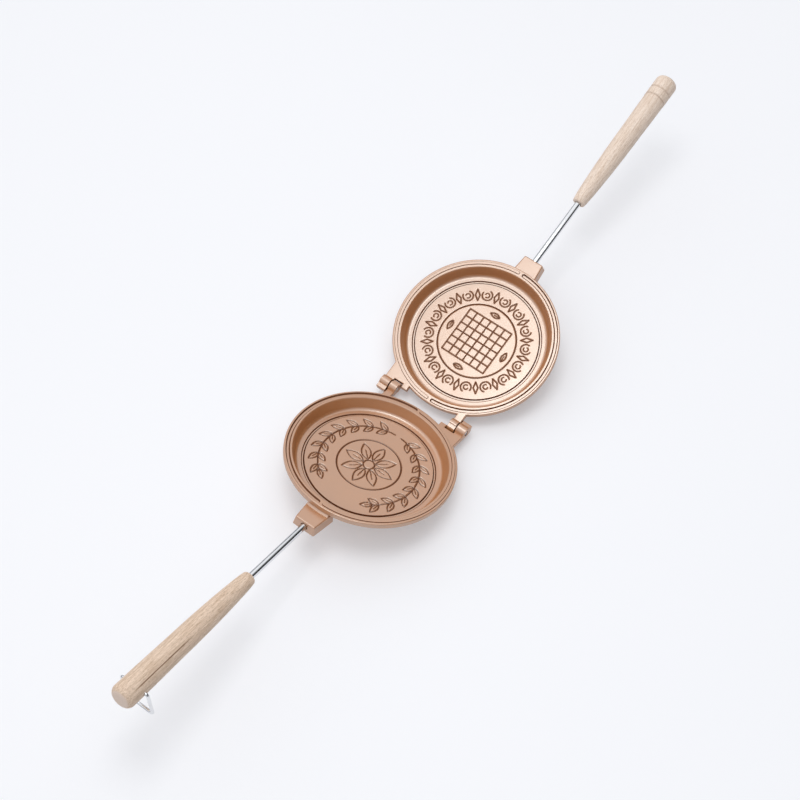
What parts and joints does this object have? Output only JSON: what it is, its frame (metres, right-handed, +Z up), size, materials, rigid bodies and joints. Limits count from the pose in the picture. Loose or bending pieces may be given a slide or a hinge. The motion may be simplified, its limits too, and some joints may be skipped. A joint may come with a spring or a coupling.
{
  "type": "hinged waffle pan",
  "caption": "Round hinged stove-top waffle pan: shallow cast halves that open in a V, plated rods, turned wooden handles and a wire locking bail.",
  "frame": {"origin": "on the table, straight under the middle of the hinge axis", "axes": "+X along the hinge, +Y towards the lower pan's handle, +Z up, with the pan fully open"},
  "size_m": [0.126, 0.6486, 0.0913],
  "materials": {
    "pan_coating": "satin copper-coloured non-stick coating",
    "pin_steel": "plain",
    "plated_steel": "bright plated",
    "beech": "smooth, lightly oiled"
  },
  "bodies": {
    "lower_half": {"lower_pan": "pan_coating", "hinge_pin_left": "pin_steel", "lower_rod": "plated_steel", "lower_handle": "beech"},
    "upper_half": {"upper_pan": "pan_coating", "hinge_pin_right": "pin_steel", "upper_rod": "plated_steel", "upper_handle": "beech"},
    "bail": {"locking_bail": "plated_steel"}
  },
  "joints": [
    {"name": "pan_hinge", "type": "hinge", "parent": "lower_half", "child": "upper_half", "pos_m": [0, 0, 0.0106], "axis": [-1, 0, 0], "range_deg": [0, 150.84]},
    {"name": "bail_swing", "type": "hinge", "parent": "upper_half", "child": "bail", "pos_m": [0, -0.30963, 0.08028], "axis": [-1, 0, 0], "range_deg": [-57, 205.9]}
  ]
}
